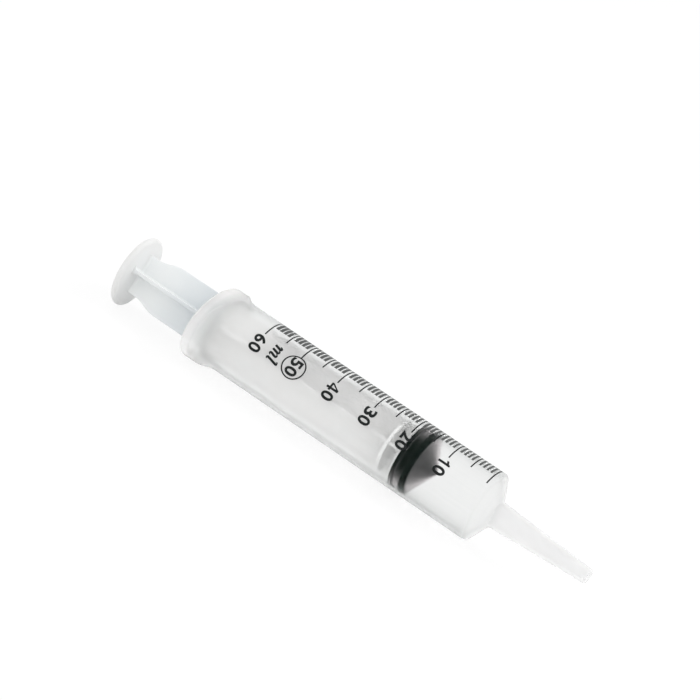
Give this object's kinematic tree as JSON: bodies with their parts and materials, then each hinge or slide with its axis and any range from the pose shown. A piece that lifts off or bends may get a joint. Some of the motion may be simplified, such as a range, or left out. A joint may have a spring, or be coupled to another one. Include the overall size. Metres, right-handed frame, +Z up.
{
  "type": "catheter tip syringe",
  "caption": "Clear syringe lying on its side: long tapered catheter tip, oval finger flange, cross-ribbed plunger with thumb disc, black rubber stopper.",
  "frame": {"origin": "on the surface the syringe lies on, under the middle of its length", "axes": "+X along the syringe towards its tip, +Z up, the finger wings point along +Y and -Y"},
  "size_m": [0.2184, 0.0443, 0.0305],
  "materials": {
    "clear_barrel": "clear, slightly milky moulded polypropylene",
    "black_rubber": "smooth near-black rubber, lightly oiled",
    "milky_rod": "milky translucent moulded polypropylene"
  },
  "bodies": {
    "barrel": {"barrel": "clear_barrel"},
    "stopper": {"stopper": "black_rubber"},
    "plunger": {"plunger_rod": "milky_rod"}
  },
  "joints": [
    {"name": "plunger_slide", "type": "slide", "parent": "barrel", "child": "stopper", "axis": [1, 0, 0], "range_m": [-0.089, 0.0286]},
    {"name": "rod_swivel", "type": "hinge", "parent": "stopper", "child": "plunger", "pos_m": [0.0275, 0, 0.01527], "axis": [1, 0, 0], "continuous": true}
  ]
}
